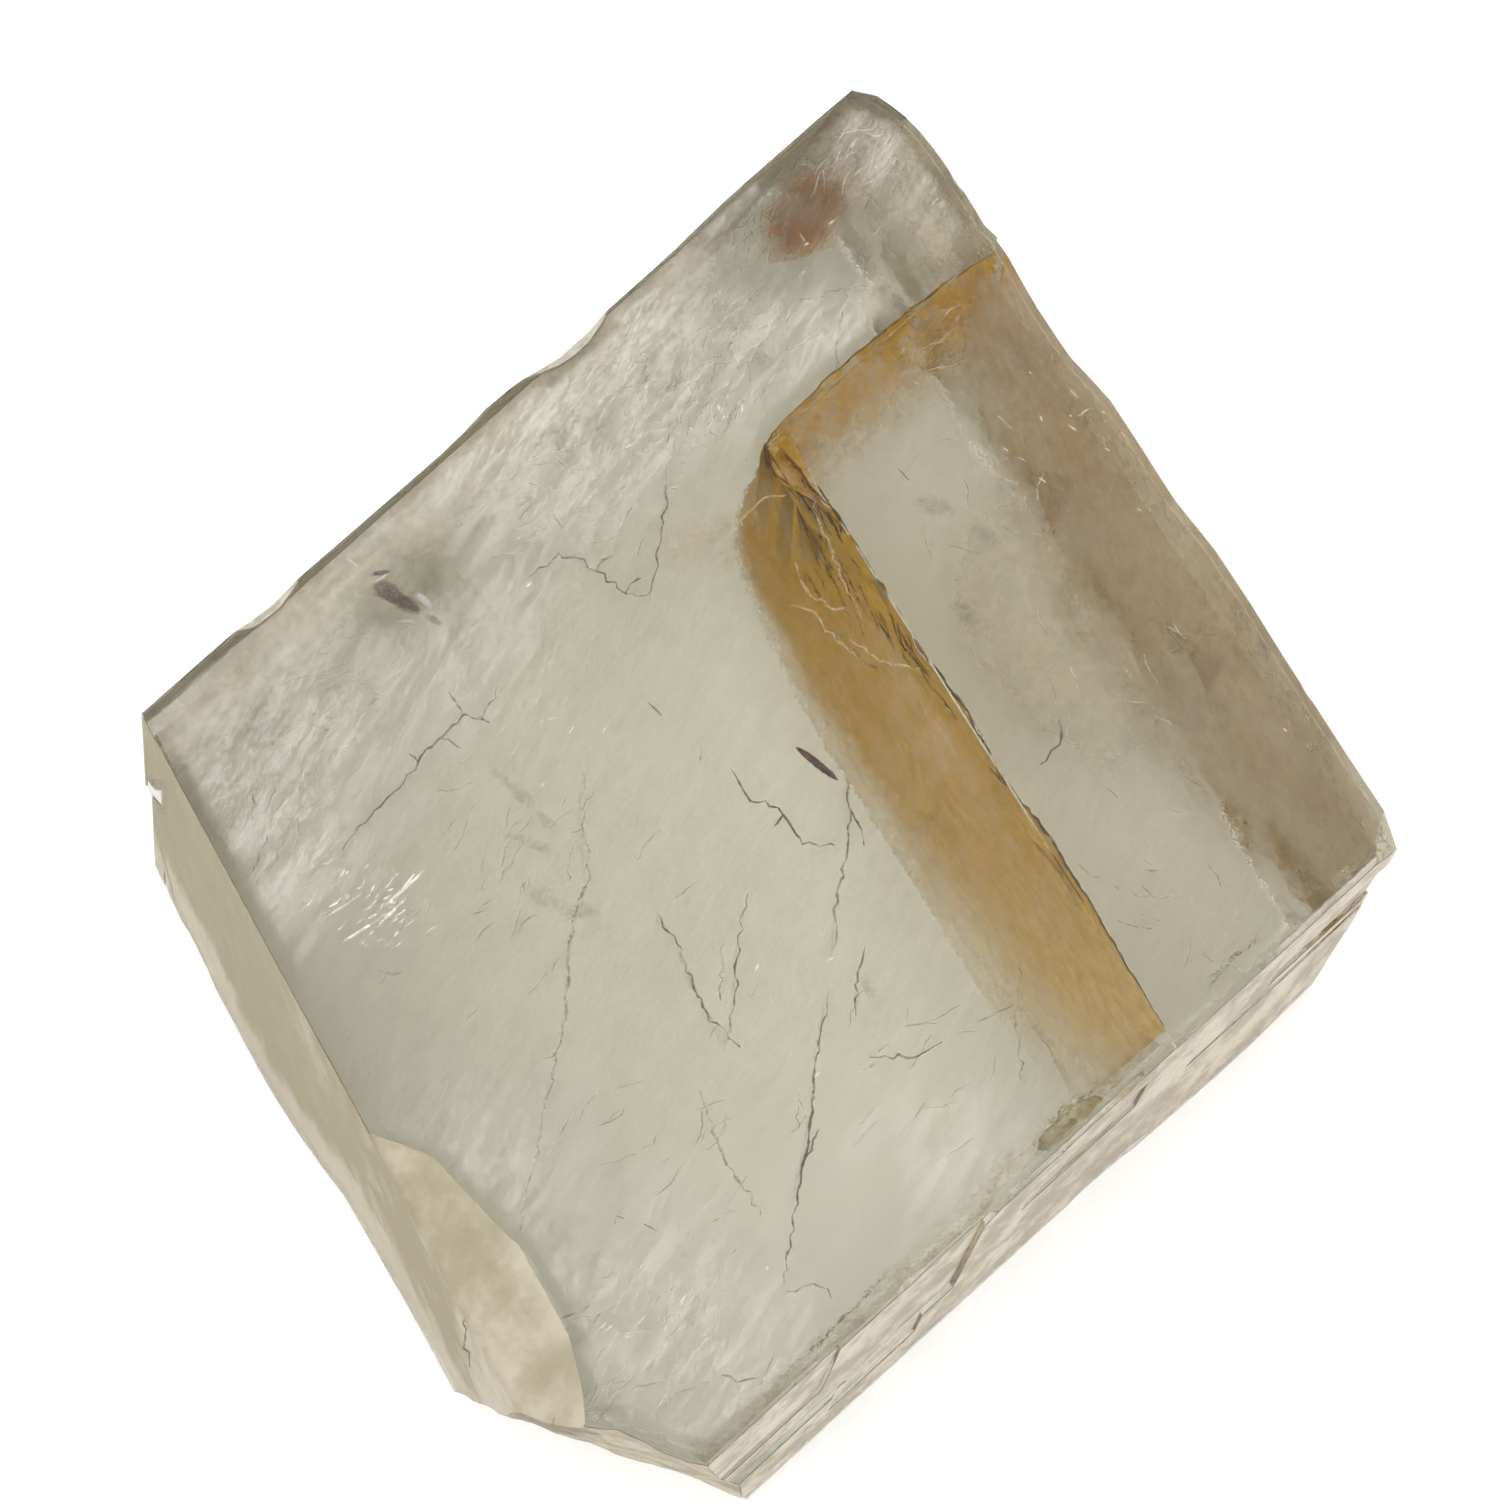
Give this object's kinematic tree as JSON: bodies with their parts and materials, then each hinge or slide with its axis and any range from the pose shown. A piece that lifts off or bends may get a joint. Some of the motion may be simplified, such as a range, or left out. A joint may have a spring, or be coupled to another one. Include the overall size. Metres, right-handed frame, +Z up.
{
  "type": "iceland spar crystal",
  "caption": "Clear cleavage rhomb of calcite with one broken corner, worn edges and an iron-stained crack, lying on its back face",
  "frame": {"origin": "centre of the bounding box, on the surface that the stone rests on", "axes": "+Z up, square to the two large cleavage faces, through the stone's thickness; +X towards the crystal's right sharp corner and +Y towards its far blunt corner, as the picture shows them"},
  "size_m": [0.0636, 0.065, 0.0184],
  "materials": {
    "calcite": "clear crystal, pale beige, faintly clouded, glossy cleavage faces with fine cracks and golden iron stain inside"
  },
  "bodies": {
    "root": {"iceland_spar": "calcite"}
  },
  "joints": []
}
